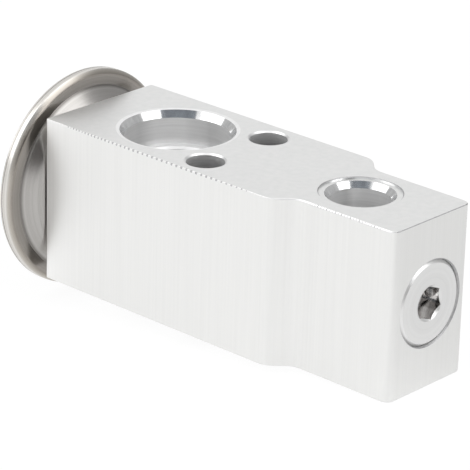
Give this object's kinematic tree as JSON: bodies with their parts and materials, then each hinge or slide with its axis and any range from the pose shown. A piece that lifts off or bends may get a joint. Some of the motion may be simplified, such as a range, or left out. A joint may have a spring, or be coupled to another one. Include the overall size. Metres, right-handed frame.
{
  "type": "block thermostatic expansion valve",
  "caption": "Machined aluminium block expansion valve with a round steel power head, pipe ports, two bolt holes and an adjusting plug.",
  "frame": {"origin": "midway between the two bolt holes, on the block's back face", "axes": "+X along the valve axis from the power head to the adjusting plug, +Z out of the front face with the liquid inlet, +Y across the block"},
  "size_m": [0.0798, 0.0372, 0.0372],
  "materials": {
    "block_aluminium": "satin, drawn and machined",
    "plug_aluminium": "satin, turned",
    "rod_aluminium": "satin, turned",
    "head_steel": "brushed stainless, warm tint",
    "fill_plug_steel": "turned stainless",
    "spring_steel": "bright spring steel",
    "turned_steel": "turned stainless",
    "ball_steel": "polished",
    "seal_rubber": "black nitrile"
  },
  "bodies": {
    "block": {"valve_block": "block_aluminium", "head_lower_cover": "head_steel", "head_upper_cover": "head_steel", "head_fill_plug": "fill_plug_steel", "head_diaphragm": "spring_steel", "head_seal": "seal_rubber", "rod_seal": "seal_rubber", "rod_seal_retainer": "spring_steel", "superheat_spring": "spring_steel"},
    "valve_train": {"diaphragm_stop": "turned_steel", "sensing_rod": "rod_aluminium", "actuating_pin": "turned_steel", "valve_ball": "ball_steel", "ball_carrier": "turned_steel", "damper_spring": "spring_steel"},
    "plug_slide": {"plug_seal": "seal_rubber"},
    "plug": {"adjusting_plug": "plug_aluminium"}
  },
  "joints": [
    {"name": "valve_stroke", "type": "slide", "parent": "block", "child": "valve_train", "axis": [1, 0, 0], "range_m": [0, 0.0008], "stiffness_N_per_m": 200, "deforming": ["superheat_spring", "head_diaphragm"]},
    {"name": "adjuster_travel", "type": "slide", "parent": "block", "child": "plug_slide", "axis": [1, 0, 0], "range_m": [-0.00125, 0.00125], "deforming": ["superheat_spring"]},
    {"name": "adjuster_turn", "type": "hinge", "parent": "plug_slide", "child": "plug", "pos_m": [0.0401, 0, 0.014], "axis": [1, 0, 0], "range_deg": [-451, 451]}
  ],
  "couplings": [
    {"joint": "adjuster_turn", "follows": "adjuster_travel", "rad_per_m": 6283.2}
  ]
}
